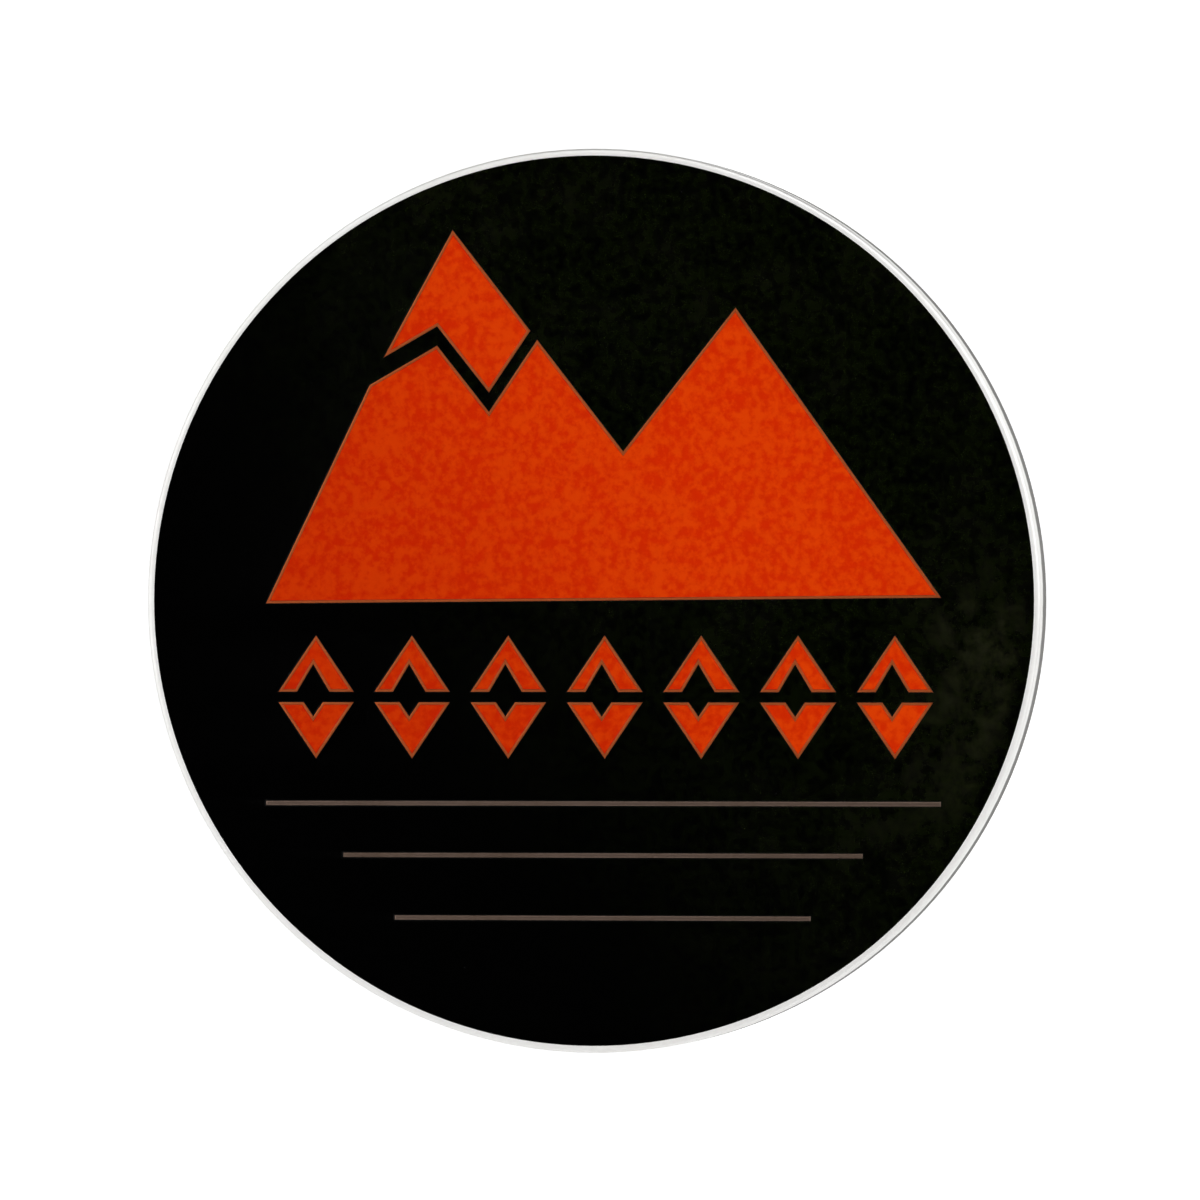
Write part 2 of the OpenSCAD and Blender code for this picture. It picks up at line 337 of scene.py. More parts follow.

# %% [markdown]
# ## Plated metal
#
# The disc is struck in base metal and plated with nickel. Four zones of it look different. The rim is
# polished and rounded by the grinding. The side wall is sheared by the trimming tool: bright at the
# front, and near the back painted dark grey and dull, partly the rough fracture of the cut and partly
# painted shade along the back edge. The raised lines are so thin that grinding takes the plate off
# them and bares the copper under it, which tarnishes brown. The back is sandblasted.


# %% Nickel with tarnish, wear and tool marks
def nickel(name, bright, dull, tarnish, rough, marks, grain_place=(1.0, 1.0, 1.0), disc=False):
    """Plated metal. bright and dull are the ends of its colour, tarnish how much of it is dull from 0 to
    1, rough the mean roughness and marks the depth of the tool marks in mm. disc adds the struck disc's
    own zones: a sandblasted back, and a side wall whose rear part is painted dark grey and dull, partly
    the rough fracture of the cut and partly painted shade along the back edge."""
    finish = Finish(name, Metallic=1.0, Specular_IOR_Level=0.0, Specular_Tint=colour(0.86, 0.86, 0.85))
    stains = finish.step(finish.noise(3.2, detail=4.0, rough=0.6), 0.42, 0.72)
    spots = finish.step(finish.noise(0.35, detail=3.0, rough=0.6), 0.5, 0.75)
    age = stains * tarnish + spots * (0.35 * tarnish)
    lines = finish.noise(0.05, detail=2.0, place=finish.stretched(*grain_place))
    shown = finish.mix(age, bright, dull)
    roughness = rough + age * 0.16 + lines * 0.1
    if disc:
        x, y, z = (finish.along(axis) for axis in "XYZ")
        blasted = finish.step(y, *BLAST_EDGE)
        sandy = finish.mix(age, colour(0.52, 0.51, 0.49), colour(0.38, 0.36, 0.33))
        shown = finish.mix(blasted, shown, sandy)
        # Painted shade, partly real: the rear of the side wall turns dark grey and loses its metal look, for
        # the cut's rough fracture and the shade along the back edge.
        edge = finish.noise(0.8, detail=3.0, place=finish.stretched(1.0, 0.2, 1.0))
        torn_shade = finish.step(y + edge * TORN_SHADE_WANDER, TORN_SHADE_START, TORN_SHADE_START + TORN_SHADE_BLUR)
        torn_shade = torn_shade * finish.step((x * x + z * z).root(), DISC_R - BACK_ROUND, DISC_R - 0.5 * BACK_ROUND)
        shown = finish.mix(torn_shade, shown, colour(0.25, 0.247, 0.24))
        roughness = roughness + torn_shade * 0.3
        finish.feed("Metallic", 1.0 - torn_shade)
    finish.feed("Base Color", shown)
    finish.feed("Roughness", roughness)
    pits = finish.noise(0.12, detail=3.0)
    finish.relief(lines * 0.7 + pits * 0.3, marks)
    return finish.material


# %% [markdown]
# ## Sizes of the pin
#
# The boxes of the model's nodes give the disc, the enamel and the posts. Only small roundings, which a
# box can't show, are named here again.


# %% Read the pin's boxes
def box_mm(node):
    """Lowest and highest corner of a model node, in millimetres."""
    low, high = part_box(node)
    return np.array(low) / MM, np.array(high) / MM


disc_low, disc_high = box_mm("pin_body")
field_low, field_high = box_mm("enamel_black_field")
DISC_R = disc_high[0]
FACE_Y = disc_low[1]            # plane of the ground metal
ENAMEL_Y = field_low[1]         # plane of the enamel, a hair behind it
CELL_FLOOR_Y = field_high[1]
FIELD_R = field_high[0]
FRONT_ROUND, BACK_ROUND = 0.2, 0.25
SEAT_WIDTH, BACK_RECESS = 1.5, 0.15
WALL_WIDTH = 0.12
TORN_SHADE_START, TORN_SHADE_BLUR, TORN_SHADE_WANDER = -1.38, 0.35, 0.3   # where the side wall's dark rear begins (partly the cut's fracture, partly painted shade), how soft its edge is and how much it wanders
BLAST_EDGE = (-0.24, -0.18)     # depths between which the sandblasted back begins
print(f"disc {2 * DISC_R:.2f} mm wide and {-FACE_Y:.2f} mm thick, enamel {ENAMEL_Y - FACE_Y:.2f} mm down")

# %% Mix the metal finishes
rim_nickel = nickel("rim_nickel", colour(0.94, 0.935, 0.92), colour(0.78, 0.76, 0.72), 0.25, 0.49, 0.0012,
                    grain_place=(0.05, 1.0, 0.05), disc=True)
wall_copper = nickel("wall_copper", colour(0.52, 0.12, 0.034), colour(0.34, 0.07, 0.02), 0.6, 0.34, 0.002)
rule_bronze = nickel("rule_bronze", colour(0.175, 0.122, 0.096), colour(0.10, 0.068, 0.05), 0.8, 0.32, 0.002)
blasted_nickel = nickel("blasted_nickel", colour(0.60, 0.59, 0.57), colour(0.42, 0.40, 0.37), 0.6, 0.36,
                        0.006)
post_nickel = nickel("post_nickel", colour(0.80, 0.785, 0.76), colour(0.52, 0.49, 0.45), 0.4, 0.2, 0.0015,
                     grain_place=(1.0, 0.04, 1.0))

# %% [markdown]
# ## Outlines of the cells
#
# The model already holds the artwork's outlines. In its nodes each flat face is cut into loose
# triangles; welding a copy and dissolving what lies in one plane gives the whole face back, with its
# corners in order. That is safer than typing the outlines a second time.


# %% Whole faces of a model node
FLAT_WITHIN = math.radians(0.5)     # turn between two faces of one plane
FORWARD_NORMAL = -0.999             # y of the normal of a face that looks forward
LEVEL_WITHIN = 0.01                 # depth tolerance in mm
RULE_ASPECT = 20                    # a rule is at least this many times as long as it is tall


def whole_faces(node, depth):
    """Outlines, as arrays of (x, z) in mm, of the node's faces that look forward at one depth."""
    work = bmesh.new()
    work.from_mesh(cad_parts[node].data)
    bmesh.ops.remove_doubles(work, verts=work.verts, dist=WELD)
    bmesh.ops.dissolve_limit(work, angle_limit=FLAT_WITHIN, verts=work.verts, edges=work.edges)
    facing = [face for face in work.faces if face.normal.y < FORWARD_NORMAL]
    level = [face for face in facing
             if abs(face.calc_center_median().y / MM - depth) < LEVEL_WITHIN]
    outlines = [np.array([corner.co.xz for corner in face.verts]) / MM for face in level]
    work.free()
    return outlines


orange_nodes = sorted(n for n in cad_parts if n.startswith("enamel_") and n != "enamel_black_field")
cells = {node: whole_faces(node, ENAMEL_Y)[0] for node in orange_nodes}
bars_in_body = [face for face in whole_faces("pin_body", FACE_Y) if len(face) == 4]
rules = [face for face in bars_in_body if np.ptp(face[:, 0]) > RULE_ASPECT * np.ptp(face[:, 1])]
print(len(cells), "orange cells and", len(rules), "rules;",
      "mountain corners:", len(cells["enamel_mountains"]))


# %% Grow an outline
def shouldered(outline, reach=0.8, most=0.3):
    """Adds two points to every side, so that smooth shading turns only near its corners. They stand
    reach from the corners, but never more than the share most of the side."""
    after = np.roll(outline, -1, axis=0)
    length = np.linalg.norm(after - outline, axis=1, keepdims=True)
    share = np.minimum(reach, most * length) / length
    sides = [outline, outline + share * (after - outline), after - share * (after - outline)]
    return np.stack(sides, axis=1).reshape(-1, 2)


def mitres(outline):
    """How each corner moves when all sides move out by 1 mm: (n1 + n2) / (1 + n1 . n2), where n1 and n2
    are the outward normals of the sides before and after it."""
    side = unit(np.roll(outline, -1, axis=0) - outline)
    after = np.stack([side[:, 1], -side[:, 0]], axis=1)
    before = np.roll(after, 1, axis=0)
    return (before + after) / (1 + (before * after).sum(1, keepdims=True))


def carried(outline, profile):
    """A profile of (offset, depth) pairs carried round an outline: row by row, the outline grown by the
    offset, at that depth."""
    offset, depth = np.asarray(profile).T
    flat = outline + offset[:, None, None] * mitres(outline)
    y = np.broadcast_to(depth[:, None, None], flat.shape[:2] + (1,))
    return np.concatenate([flat[..., :1], y, flat[..., 1:]], axis=-1)


# %% [markdown]
# ## The disc
#
# A round part is a profile turned about its axis. Striking and grinding leave soft corners, so every
# corner of the profile gets its own rounding. The profile runs from the floor under the enamel, over the
# rim, down the side wall, across the flat ring that lies on the cloth, to the recessed back.


# %% Turn a profile
def turned(profile, centre=(0.0, 0.0), segments=192):
    """A profile of (radius, depth) pairs turned about an axis along Y: x = r cos a and z = r sin a."""
    radius, depth = np.asarray(profile).T
    angle = np.linspace(0, 2 * np.pi, segments, endpoint=False)
    x = centre[0] + radius[:, None] * np.cos(angle)
    z = centre[1] + radius[:, None] * np.sin(angle)
    return np.stack([x, np.broadcast_to(depth[:, None], x.shape), z], axis=-1)


RECESS_LEAN = 0.08
seat_inner_r = DISC_R - BACK_ROUND - SEAT_WIDTH
disc_corners = [[0, CELL_FLOOR_Y], [FIELD_R, CELL_FLOOR_Y], [FIELD_R, FACE_Y], [DISC_R, FACE_Y], [DISC_R, 0],
                [seat_inner_r, 0], [seat_inner_r - RECESS_LEAN, -BACK_RECESS], [0, -BACK_RECESS]]
disc_cuts = [0.01, 0.02, FRONT_ROUND, BACK_ROUND, 0.06, 0.06]
disc = turned(softened(disc_corners, disc_cuts, steps=8))
make_piece("struck_disc", [(disc, [grid_faces(disc)])], rim_nickel, "pin", ["pin_body"])

# %% [markdown]
# ## Raised lines
#
# Every colour is fenced in by a wall that the die left standing. It is a hairline, so its two top
# corners are worn into one low crown. Each wall is a closed profile carried round its cell.

# %% Walls round the orange cells
wall_corners = [[0, CELL_FLOOR_Y], [0, FACE_Y], [WALL_WIDTH, FACE_Y], [WALL_WIDTH, CELL_FLOOR_Y]]
WALL_ROUND = 0.045
wall_profile = softened(wall_corners, WALL_ROUND, steps=3, closed=True)
walls = [carried(shouldered(outline), wall_profile) for outline in cells.values()]
make_piece("cell_walls", [(wall, [grid_faces(wall, wrap_rows=True)]) for wall in walls], wall_copper,
           "pin")

# %% [markdown]
# The three long rules are bars with the same crown: the profile climbs the bar's side, rounds its edge
# and leaves a narrow flat on top.

# %% Rules
RULE_ROUND, RULE_TOP_START = 0.068, 0.07
rule_corners = [[0, CELL_FLOOR_Y], [0, FACE_Y], [-RULE_TOP_START, FACE_Y]]
rule_profile = softened(rule_corners, RULE_ROUND, steps=4)
bars = [carried(shouldered(outline), rule_profile) for outline in rules]
make_piece("raised_rules", [(bar, [grid_faces(bar), row_cap(bar, 0), row_cap(bar, -1)]) for bar in bars],
           rule_bronze, "pin")

# %% [markdown]
# ## Enamel in its cells
#
# Wet enamel creeps up the walls that hold it and stays a little higher there after grinding. That
# meniscus is what catches a thin line of light along every edge when the pin is tilted. Its height falls
# off as e^(-d / width) with the distance d from the wall.

# %% Meniscus
MENISCUS_RISE, MENISCUS_STOPS = 0.018, 7
CELL_CREEP, FIELD_CREEP = 0.1, 0.06     # reach of the meniscus in an orange cell and in the black field


def meniscus(reach):
    """Profile of an enamel edge, from the cell's floor up the wall and out to where the surface is
    level, reach from the wall: depth = level - rise e^(-3 d / reach)."""
    creep = reach * np.linspace(0, 1, MENISCUS_STOPS) ** 1.5
    depth = ENAMEL_Y - MENISCUS_RISE * np.exp(-3 * creep / reach)
    return np.vstack([[0, CELL_FLOOR_Y], np.stack([-creep, depth], axis=1)])


# %% Orange enamel
into_cell = meniscus(CELL_CREEP)
for node, outline in cells.items():
    fill = carried(shouldered(outline), into_cell)
    fill_faces = [grid_faces(fill), row_cap(fill, 0), row_cap(fill, -1)]
    make_piece(node.replace("enamel", "orange"), [(fill, fill_faces)], orange_enamel, "pin",
               [node])

# %% [markdown]
# The black field is the same idea with many edges: one round one at the rim, and one round every wall
# and rule. Each edge gets its own band of meniscus, narrow enough to fit between two close walls. The
# flat rest, a disc with holes, is cut into triangles by Blender's polygon filler.

# %% Black field
field_edge = meniscus(FIELD_CREEP)
away_from_wall = field_edge * [-1, 1]
field_turn = field_edge + [FIELD_R, 0]
edges_of_field = [turned(field_turn)]
edges_of_field += [carried(shouldered(outline), away_from_wall + [WALL_WIDTH, 0])
                   for outline in cells.values()]
edges_of_field += [carried(shouldered(outline), away_from_wall) for outline in rules]


def filled(loops):
    """Triangles of the flat shape whose first loop is its outline and whose other loops are holes."""
    triangles = geometry.tessellate_polygon([[Vector(point) for point in loop] for loop in loops])
    return np.vstack(loops), [np.array(triangles)]


field_parts = [(band, [grid_faces(band)]) for band in edges_of_field]
field_parts.append(filled([band[-1] for band in edges_of_field]))
field_parts.append(filled([band[0] for band in edges_of_field]))
make_piece("black_field", field_parts, black_enamel, "pin", ["enamel_black_field"])

# %% [markdown]
# ## The stippled back
#
# Many pins have a fine raised stipple on the back, which hides the marks of soldering. It is a
# triangular lattice of low domes. One dome of a few faces is worked out once and added to every centre.

# %% Stipple
STIPPLE_PITCH, STIPPLE_R, STIPPLE_RISE, STIPPLE_ROOT = 0.8, 0.2, 0.07, 0.02
SEAT_MARGIN, SOLDER_MARGIN = 0.45, 3.1      # no dome this near the seat's ring or a post's centre
LATTICE_HALF = 30                           # more rows and columns each way than the disc holds
posts = {side: box_mm(f"{side}_post") for side in ("left", "right")}
POST_FOOT_R = (posts["left"][1] - posts["left"][0])[0] / 2
post_centres = {side: ((low + high) / 2)[[0, 2]] for side, (low, high) in posts.items()}
steps = np.arange(-LATTICE_HALF, LATTICE_HALF + 1)
column, row = np.meshgrid(steps, steps)
lattice = np.stack([(column + 0.5 * (row % 2)) * STIPPLE_PITCH, row * STIPPLE_PITCH * math.sqrt(3) / 2], -1)
lattice = lattice.reshape(-1, 2)
keep = np.linalg.norm(lattice, axis=1) < seat_inner_r - SEAT_MARGIN
for centre in post_centres.values():
    keep &= np.linalg.norm(lattice - centre, axis=1) > SOLDER_MARGIN
dots = lattice[keep]
dome_profile = [[STIPPLE_R, -BACK_RECESS - STIPPLE_ROOT], [STIPPLE_R, -BACK_RECESS],
                [0.75 * STIPPLE_R, -BACK_RECESS + 0.7 * STIPPLE_RISE], [0.0, -BACK_RECESS + STIPPLE_RISE]]
dome = turned(dome_profile, segments=8)
domes = dome + np.insert(dots, 1, 0.0, axis=1)[:, None, None, :]
first_points = np.arange(len(dots))[:, None, None] * dome[..., 0].size
dome_faces = [(faces + first_points).reshape(-1, faces.shape[1])
              for faces in (grid_faces(dome), row_cap(dome, 0))]
make_piece("back_stipple", [(domes, dome_faces)], blasted_nickel, "pin", crease_deg=80)
print(len(dots), "domes")

# %% [markdown]
# ## Posts and solder
#
# A post is a nail: a flat foot, a drawn shank with a waist near the point, and a ground point. The
# solder under it is the only freehand thing on the pin, so its fillet wanders: its reach is a sum of
# three slow waves round the foot.

# %% Posts
POST_R, SHANK_R, WAIST_R, POINT_R = 0.6, 0.55, 0.44, 0.12
FOOT_T, SHOULDER_Y, WAIST_START, WAIST_END, POINT_L = 0.35, 1.2, 6.05, 6.55, 0.75
SHOULDER_SLOPE, WAIST_SLOPE = 0.04, 0.12    # length of the short cones between two widths
for side, (low, high) in posts.items():
    foot_y, point_y = low[1], high[1]
    corners = [[0, foot_y], [POST_FOOT_R, foot_y], [POST_FOOT_R, foot_y + FOOT_T], [POST_R, foot_y + FOOT_T],
               [POST_R, SHOULDER_Y], [SHANK_R, SHOULDER_Y + SHOULDER_SLOPE], [SHANK_R, WAIST_START],
               [WAIST_R, WAIST_START + WAIST_SLOPE], [WAIST_R, WAIST_END - WAIST_SLOPE],
               [SHANK_R, WAIST_END],
               [SHANK_R, point_y - POINT_L], [POINT_R, point_y], [0, point_y]]
    cuts = [0.08, 0.08, 0.12, 0.02, 0.02, 0.05, 0.05, 0.05, 0.05, 0.2, 0.06]
    post = turned(softened(corners, cuts), post_centres[side], segments=64)
    make_piece(f"{side}_post_nail", [(post, [grid_faces(post)])], post_nickel, "pin",
               [f"{side}_post"])


# %% Solder
def solder_finish():
    """Dull tin: grey, wrinkled where it froze, brighter on the wrinkles."""
    finish = Finish("solder_tin", Metallic=1.0)
    wrinkles = finish.noise(0.3, detail=3.0, rough=0.6)
    finish.feed("Base Color", finish.mix(finish.step(wrinkles, 0.35, 0.7), colour(0.33, 0.33, 0.32),
                                         colour(0.62, 0.615, 0.60)))
    finish.feed("Roughness", 0.3 + finish.noise(0.8) * 0.25)
    finish.relief(wrinkles, 0.03)
    return finish.material


solder_tin = solder_finish()
SOLDER_LAP, SOLDER_REACH, SOLDER_WANDER = 0.03, 0.5, 0.28   # under the foot, outwards, and its unevenness
SOLDER_RISE, SOLDER_LUMPS, SOLDER_HOLLOW = 0.3, 0.12, 2.2   # height, its unevenness, how hollow the slope is
SOLDER_SINK, SOLDER_ROOT = 0.005, 0.03                      # edge and underside below the back plane
for number, (side, centre) in enumerate(post_centres.items()):
    across = np.linspace(0, 1, 7)[:, None]
    angle = np.linspace(0, 2 * np.pi, 72, endpoint=False)
    waves = sum(np.sin(k * angle + k * number + 0.7 * k * k) / (k + 1) for k in (2, 3, 5))
    reach = POST_FOOT_R - SOLDER_LAP + across * SOLDER_REACH * (1 + SOLDER_WANDER * waves)
    lumps = 1 + SOLDER_LUMPS * np.sin(3 * angle + number)
    rise = -BACK_RECESS + SOLDER_RISE * (1 - across) ** SOLDER_HOLLOW * lumps - SOLDER_SINK
    fillet = np.stack([centre[0] + reach * np.cos(angle), rise, centre[1] + reach * np.sin(angle)], axis=-1)
    underside = np.full_like(rise, -BACK_RECESS - SOLDER_ROOT)
    hidden = np.stack([fillet[..., 0], underside, fillet[..., 2]], axis=-1)[::-1]
    ring = np.concatenate([fillet, hidden])
    make_piece(f"{side}_solder_fillet", [(ring, [grid_faces(ring, wrap_rows=True)])], solder_tin, "pin",
               [f"{side}_solder"])

# %% [markdown]
# ## Clutch brass
#
# Clutches are pressed from rolled brass strip. Rolling leaves fine lines along the strip, tumbling dulls
# the faces and polishes the edges, and fingers leave brown patches.


# %% Brass finish
def brass_finish():
    """Tumbled brass with rolling lines, brown finger marks and small bright dings."""
    finish = Finish("clutch_brass", Metallic=1.0)
    rolled = finish.noise(0.06, detail=2.0, place=finish.stretched(0.06, 1.0, 1.0))
    patches = finish.step(finish.noise(2.6, detail=4.0, rough=0.6), 0.45, 0.75)
    dings = finish.specks(1.1, 0.09)
    warm = finish.mix(patches * 0.7, colour(0.80, 0.57, 0.25), colour(0.52, 0.33, 0.13))
    finish.feed("Base Color", finish.mix(dings * 0.6, warm, colour(0.90, 0.70, 0.38)))
    finish.feed("Roughness", 0.24 + patches * 0.16 + rolled * 0.1)
    finish.relief(rolled * 0.5 + finish.noise(0.25, detail=2.0) * 0.5 - dings * 0.5, 0.004)
    return finish.material


clutch_brass = brass_finish()

# %% [markdown]
# ## Clutch caps
#
# The cap is a small dish with a rolled lip. It is a turned profile too, but six pips are pressed through
# its floor to bite the cloth, so the turned grid is pushed along its axis by a smooth bell round each
# pip's centre.

# %% Sizes of a clutch
SHEET = 0.3
LIP = 0.75
HOLE_R = 0.7
CAP_BEND = 0.45
CORNER_STEPS = 6                # steps of a rounded corner of the cap, which has one point more
RUN_STOPS = 34                  # points across the cap's floor
RUN_MARGIN, BEND_MARGIN = 0.3, 0.05     # flat metal left between those points and a corner
PIPS, PIP_RING, PIP_WIDTH, PIP_DEPTH = 6, 4.2, 0.42, 0.22
caps = {side: box_mm(f"{side}_clutch_cap") for side in ("left", "right")}
CAP_R = (caps["left"][1][0] - caps["left"][0][0]) / 2
CAP_H = caps["left"][1][1] - caps["left"][0][1]
CAP_Y = caps["left"][0][1]
print(f"clutch cap {2 * CAP_R:.2f} mm wide and {CAP_H:.2f} mm tall, {CAP_Y:.2f} mm behind the disc")

# %% Caps
cap_corners = [[HOLE_R, 0], [CAP_R, 0], [CAP_R, CAP_H], [CAP_R - LIP, CAP_H], [CAP_R - LIP, CAP_H - SHEET],
               [CAP_R - SHEET, CAP_H - SHEET], [CAP_R - SHEET, SHEET], [HOLE_R, SHEET]]
cap_cuts = [0.08, CAP_BEND, 0.28, 0.1, 0.1, 0.06, 0.2, 0.08]
floor_run = np.linspace([HOLE_R + RUN_MARGIN, SHEET], [CAP_R - SHEET - RUN_MARGIN, SHEET], RUN_STOPS)
under_run = np.linspace([CAP_R - CAP_BEND - BEND_MARGIN, 0], [HOLE_R + RUN_MARGIN, 0], RUN_STOPS)
shell = softened(cap_corners, cap_cuts, steps=CORNER_STEPS, closed=True)


def dished(profile):
    """The cap's closed profile with extra points across its floor, top and bottom, for the pips."""
    corner = CORNER_STEPS + 1
    start, bend, last = profile[:corner], profile[corner:-corner], profile[-corner:]
    return np.vstack([start, under_run[::-1], bend, floor_run[::-1], last])


for side, (low, high) in caps.items():
    centre = post_centres[side]
    dish = turned(dished(shell) + [0, CAP_Y], centre, segments=144)
    local = dish[..., [0, 2]] - centre
    pip_angle = 2 * np.pi * (np.arange(PIPS) + 0.5) / PIPS
    pips = PIP_RING * np.stack([np.cos(pip_angle), np.sin(pip_angle)], axis=-1)
    distance = np.linalg.norm(local[..., None, :] - pips, axis=-1)
    dish[..., 1] -= PIP_DEPTH * np.exp(-((distance / PIP_WIDTH) ** 2)).sum(-1)
    make_piece(f"{side}_clutch_dish", [(dish, [grid_faces(dish, wrap_rows=True)])], clutch_brass,
               f"{side}_cap", [f"{side}_clutch_cap"])

# %% [markdown]
# ## Sheet pieces
#
# The bridge and the wings are folded sheet. Their middle surface is a grid, Solidify gives it the
# sheet's thickness on both sides, and Bevel breaks the sheared edges, which is just what tumbling does.


# %% Sheet metal from a middle surface
TUMBLED_EDGE = 0.05


def sheet_piece(name, grid, body, node, cut_out=None):
    """A middle surface of (rows, columns, 3) points made into sheet. cut_out is a mask of the grid's
    cells that are punched away."""
    faces = grid_faces(grid, wrap_columns=False)
    if cut_out is not None:
        faces = faces[~cut_out.reshape(-1)]
    piece = make_piece(name, [(grid, [faces])], clutch_brass, body, [node], crease_deg=180)
    wall = piece.modifiers.new("Sheet thickness", "SOLIDIFY")
    wall.thickness = SHEET * MM
    wall.offset = 0.0
    wall.use_even_offset = True
    edge = piece.modifiers.new("Tumbled edges", "BEVEL")
    edge.width = TUMBLED_EDGE * MM
    edge.segments = 2
    edge.limit_method = "ANGLE"
    edge.angle_limit = math.radians(50)
    edge.harden_normals = True
    return piece


# %% [markdown]
# The bridge spans the cap. Its feet are trimmed to the cap's circle and run under the rolled lip, and
# its deck has a slot for the wings' necks. Along the strip the grid follows the folded line; across it,
# each foot's last row is pushed out to the circle.

# %% Bridges
BRIDGE_HALF, SLOT_X, SLOT_Z, FOOT_BEND = 2.6, 1.36, 1.85, 3.5
FOOT_GAP, FOOT_PLAY, FOOT_RUN, FOOT_ROWS = 0.06, 0.1, 0.3, 4
DECK_TOP, DECK_END_X, LEG_END_X, BRIDGE_ROUND = 2.45, 2.7, 3.2, 0.28
FOOT_LINE = SHEET + FOOT_GAP + SHEET / 2
DECK_LINE = DECK_TOP - SHEET / 2
FOOT_R = CAP_R - SHEET - FOOT_PLAY
half_corners = [[SLOT_X, DECK_LINE], [DECK_END_X, DECK_LINE], [LEG_END_X, FOOT_LINE],
                [FOOT_BEND + FOOT_RUN, FOOT_LINE]]
half_line = softened(half_corners, BRIDGE_ROUND, steps=6)
deck_stops = np.linspace([-SLOT_X, DECK_LINE], [SLOT_X, DECK_LINE], 7)
line = np.vstack([half_line[::-1] * [-1, 1], deck_stops[1:-1], half_line])
across_bridge = np.concatenate([np.linspace(-BRIDGE_HALF, -SLOT_Z, 3), np.linspace(-SLOT_Z, SLOT_Z, 9)[1:-1],
                                np.linspace(SLOT_Z, BRIDGE_HALF, 3)])
foot_end = np.sqrt(FOOT_R**2 - across_bridge**2)
grow = np.linspace(0, 1, FOOT_ROWS + 1)[1:, None]
foot_x = line[-1, 0] + grow * (foot_end - line[-1, 0])
bridge_x = np.vstack([-foot_x[::-1], np.repeat(line[:, :1], len(across_bridge), axis=1), foot_x])
foot_y = np.full(FOOT_ROWS, FOOT_LINE)
bridge_y = np.concatenate([foot_y, line[:, 1], foot_y])[:, None] + 0 * bridge_x
bridge = np.stack([bridge_x, bridge_y, 0 * bridge_x + across_bridge], axis=-1)
middle = (bridge[:-1, :-1] + bridge[1:, 1:]) / 2
slot_cells = (abs(middle[..., 0]) < SLOT_X) & (abs(middle[..., 2]) < SLOT_Z)
for side, centre in post_centres.items():
    place = [centre[0], CAP_Y, centre[1]]
    sheet_piece(f"{side}_folded_bridge", bridge + place, f"{side}_bridge", f"{side}_clutch_bridge",
                slot_cells)

# %% [markdown]
# A wing starts as a jaw beside the post, passes through the slot and curls out into a round tab for the
# finger. Along the wing the middle line is a straight jaw and a cubic curve; across it the half width
# follows the neck and then the tab's circle. The jaw's end is hollowed to the post's round. A low crease
# down the tab stiffens the real thing.

# %% Wings
NECK_HALF, TAB_R, TAB_X, NOTCH_R = 1.7, 2.6, 3.9, 0.61
JAW, NECK, TAB_END = np.array([0.5, 0.9]), np.array([1.05, 2.2]), np.array([6.5, 5.5])
NECK_HANDLE, TAB_HANDLE = 2, [-2.4, 0.35]   # how far the curve's two inner handles stand from its ends
SWELL = 1.3                                 # the neck widens to the tab over this length
LEAST_HALF_SQUARED, MOST_NOTCH = 0.05, 0.8  # the tab never ends in a point, the notch never eats the jaw
JAW_ROWS = 7
CREASE, CREASE_WIDTH = 0.1, 0.5
CREASE_START, CREASE_RISE, CREASE_END, CREASE_FALL = 2.0, 1.5, 6.0, 0.8
run = np.sin(np.linspace(0, np.pi / 2, 33))[:, None]
handles = [NECK, NECK + NECK_HANDLE * unit(NECK - JAW), TAB_END + TAB_HANDLE, TAB_END]
powers = [(1 - run) ** 3, 3 * run * (1 - run) ** 2, 3 * run**2 * (1 - run), run**3]
curl = sum(power * handle for power, handle in zip(powers, handles))


def wing_grid(out):
    """One wing's middle surface. Row by row the middle line's x and y, column by column the share t from
    -1 to 1 of the half width; the jaw's first rows start where x^2 + z^2 leaves the notch's circle."""
    t = np.sin(np.linspace(-1, 1, 21) * np.pi / 2)[None]
    past_centre = np.maximum(curl[:, :1], TAB_X) - TAB_X
    end = np.sqrt(np.maximum(TAB_R**2 - past_centre**2, LEAST_HALF_SQUARED))
    swell = np.clip((curl[:, :1] - TAB_X + SWELL) / SWELL, 0, 1)
    half = NECK_HALF + (end - NECK_HALF) * np.where(curl[:, :1] > TAB_X, 1, swell * swell * (3 - 2 * swell))
    tab_z = half * t
    jaw_z = NECK_HALF * t
    jaw_start = np.sqrt(np.maximum(NOTCH_R**2 - jaw_z**2, 0)) + SHEET / 2
    jaw_from = np.clip((jaw_start - JAW[0]) / (NECK[0] - JAW[0]), 0, MOST_NOTCH)
    down = np.linspace(0, 1, JAW_ROWS + 1)[:-1, None]
    jaw_share = jaw_from + down * (1 - jaw_from)
    x = np.vstack([JAW[0] + jaw_share * (NECK[0] - JAW[0]), np.repeat(curl[:, :1], t.size, axis=1)])
    y = np.vstack([JAW[1] + jaw_share * (NECK[1] - JAW[1]), np.repeat(curl[:, 1:], t.size, axis=1)])
    z = np.vstack([np.repeat(jaw_z, JAW_ROWS, axis=0), tab_z])
    lift = CREASE * np.exp(-((z / CREASE_WIDTH) ** 2))
    lift = lift * np.clip((x - CREASE_START) / CREASE_RISE, 0, 1)
    lift = lift * np.clip((CREASE_END - x) / CREASE_FALL, 0, 1)
    return np.stack([out * x, y + lift, z], axis=-1)


for side, centre in post_centres.items():
    outwards = 1 if side == "right" else -1
    place = [centre[0], CAP_Y, centre[1]]
    for wing, out in ((f"{side}_wing_inner", -outwards), (f"{side}_wing_outer", outwards)):
        sheet_piece(f"{wing}_lever", wing_grid(out) + place, wing, wing)

